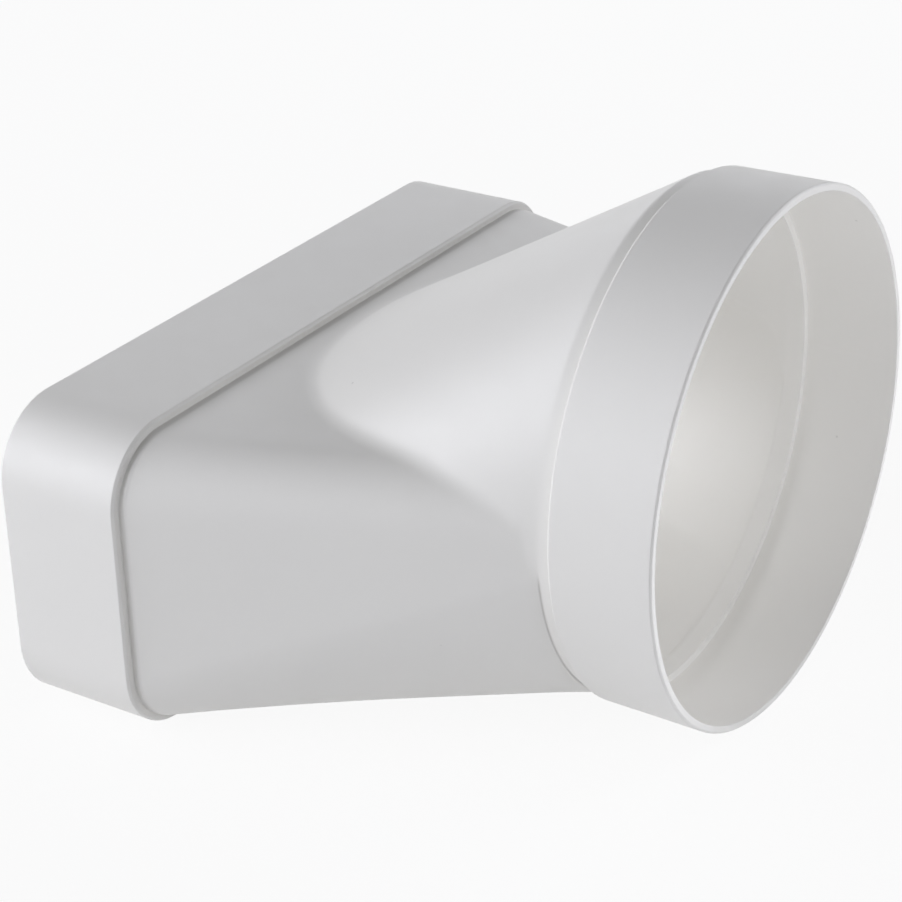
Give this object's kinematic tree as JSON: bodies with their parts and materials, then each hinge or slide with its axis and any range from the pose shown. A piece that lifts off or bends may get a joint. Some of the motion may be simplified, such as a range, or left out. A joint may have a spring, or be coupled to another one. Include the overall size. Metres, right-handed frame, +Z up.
{
  "type": "duct adapter",
  "caption": "Moulded rectangular-to-round duct adapter: flat-duct socket, hooded transition and round pipe socket, flush along the bottom.",
  "frame": {"origin": "middle of the bounding box on the ground the adapter lies on", "axes": "+X along the duct towards the round socket's mouth, +Y along the flat duct's long side, +Z up"},
  "size_m": [0.185, 0.2274, 0.1549],
  "materials": {
    "white_plastic": "satin moulded plastic, cool white"
  },
  "bodies": {
    "root": {"duct_adapter": "white_plastic"}
  },
  "joints": []
}
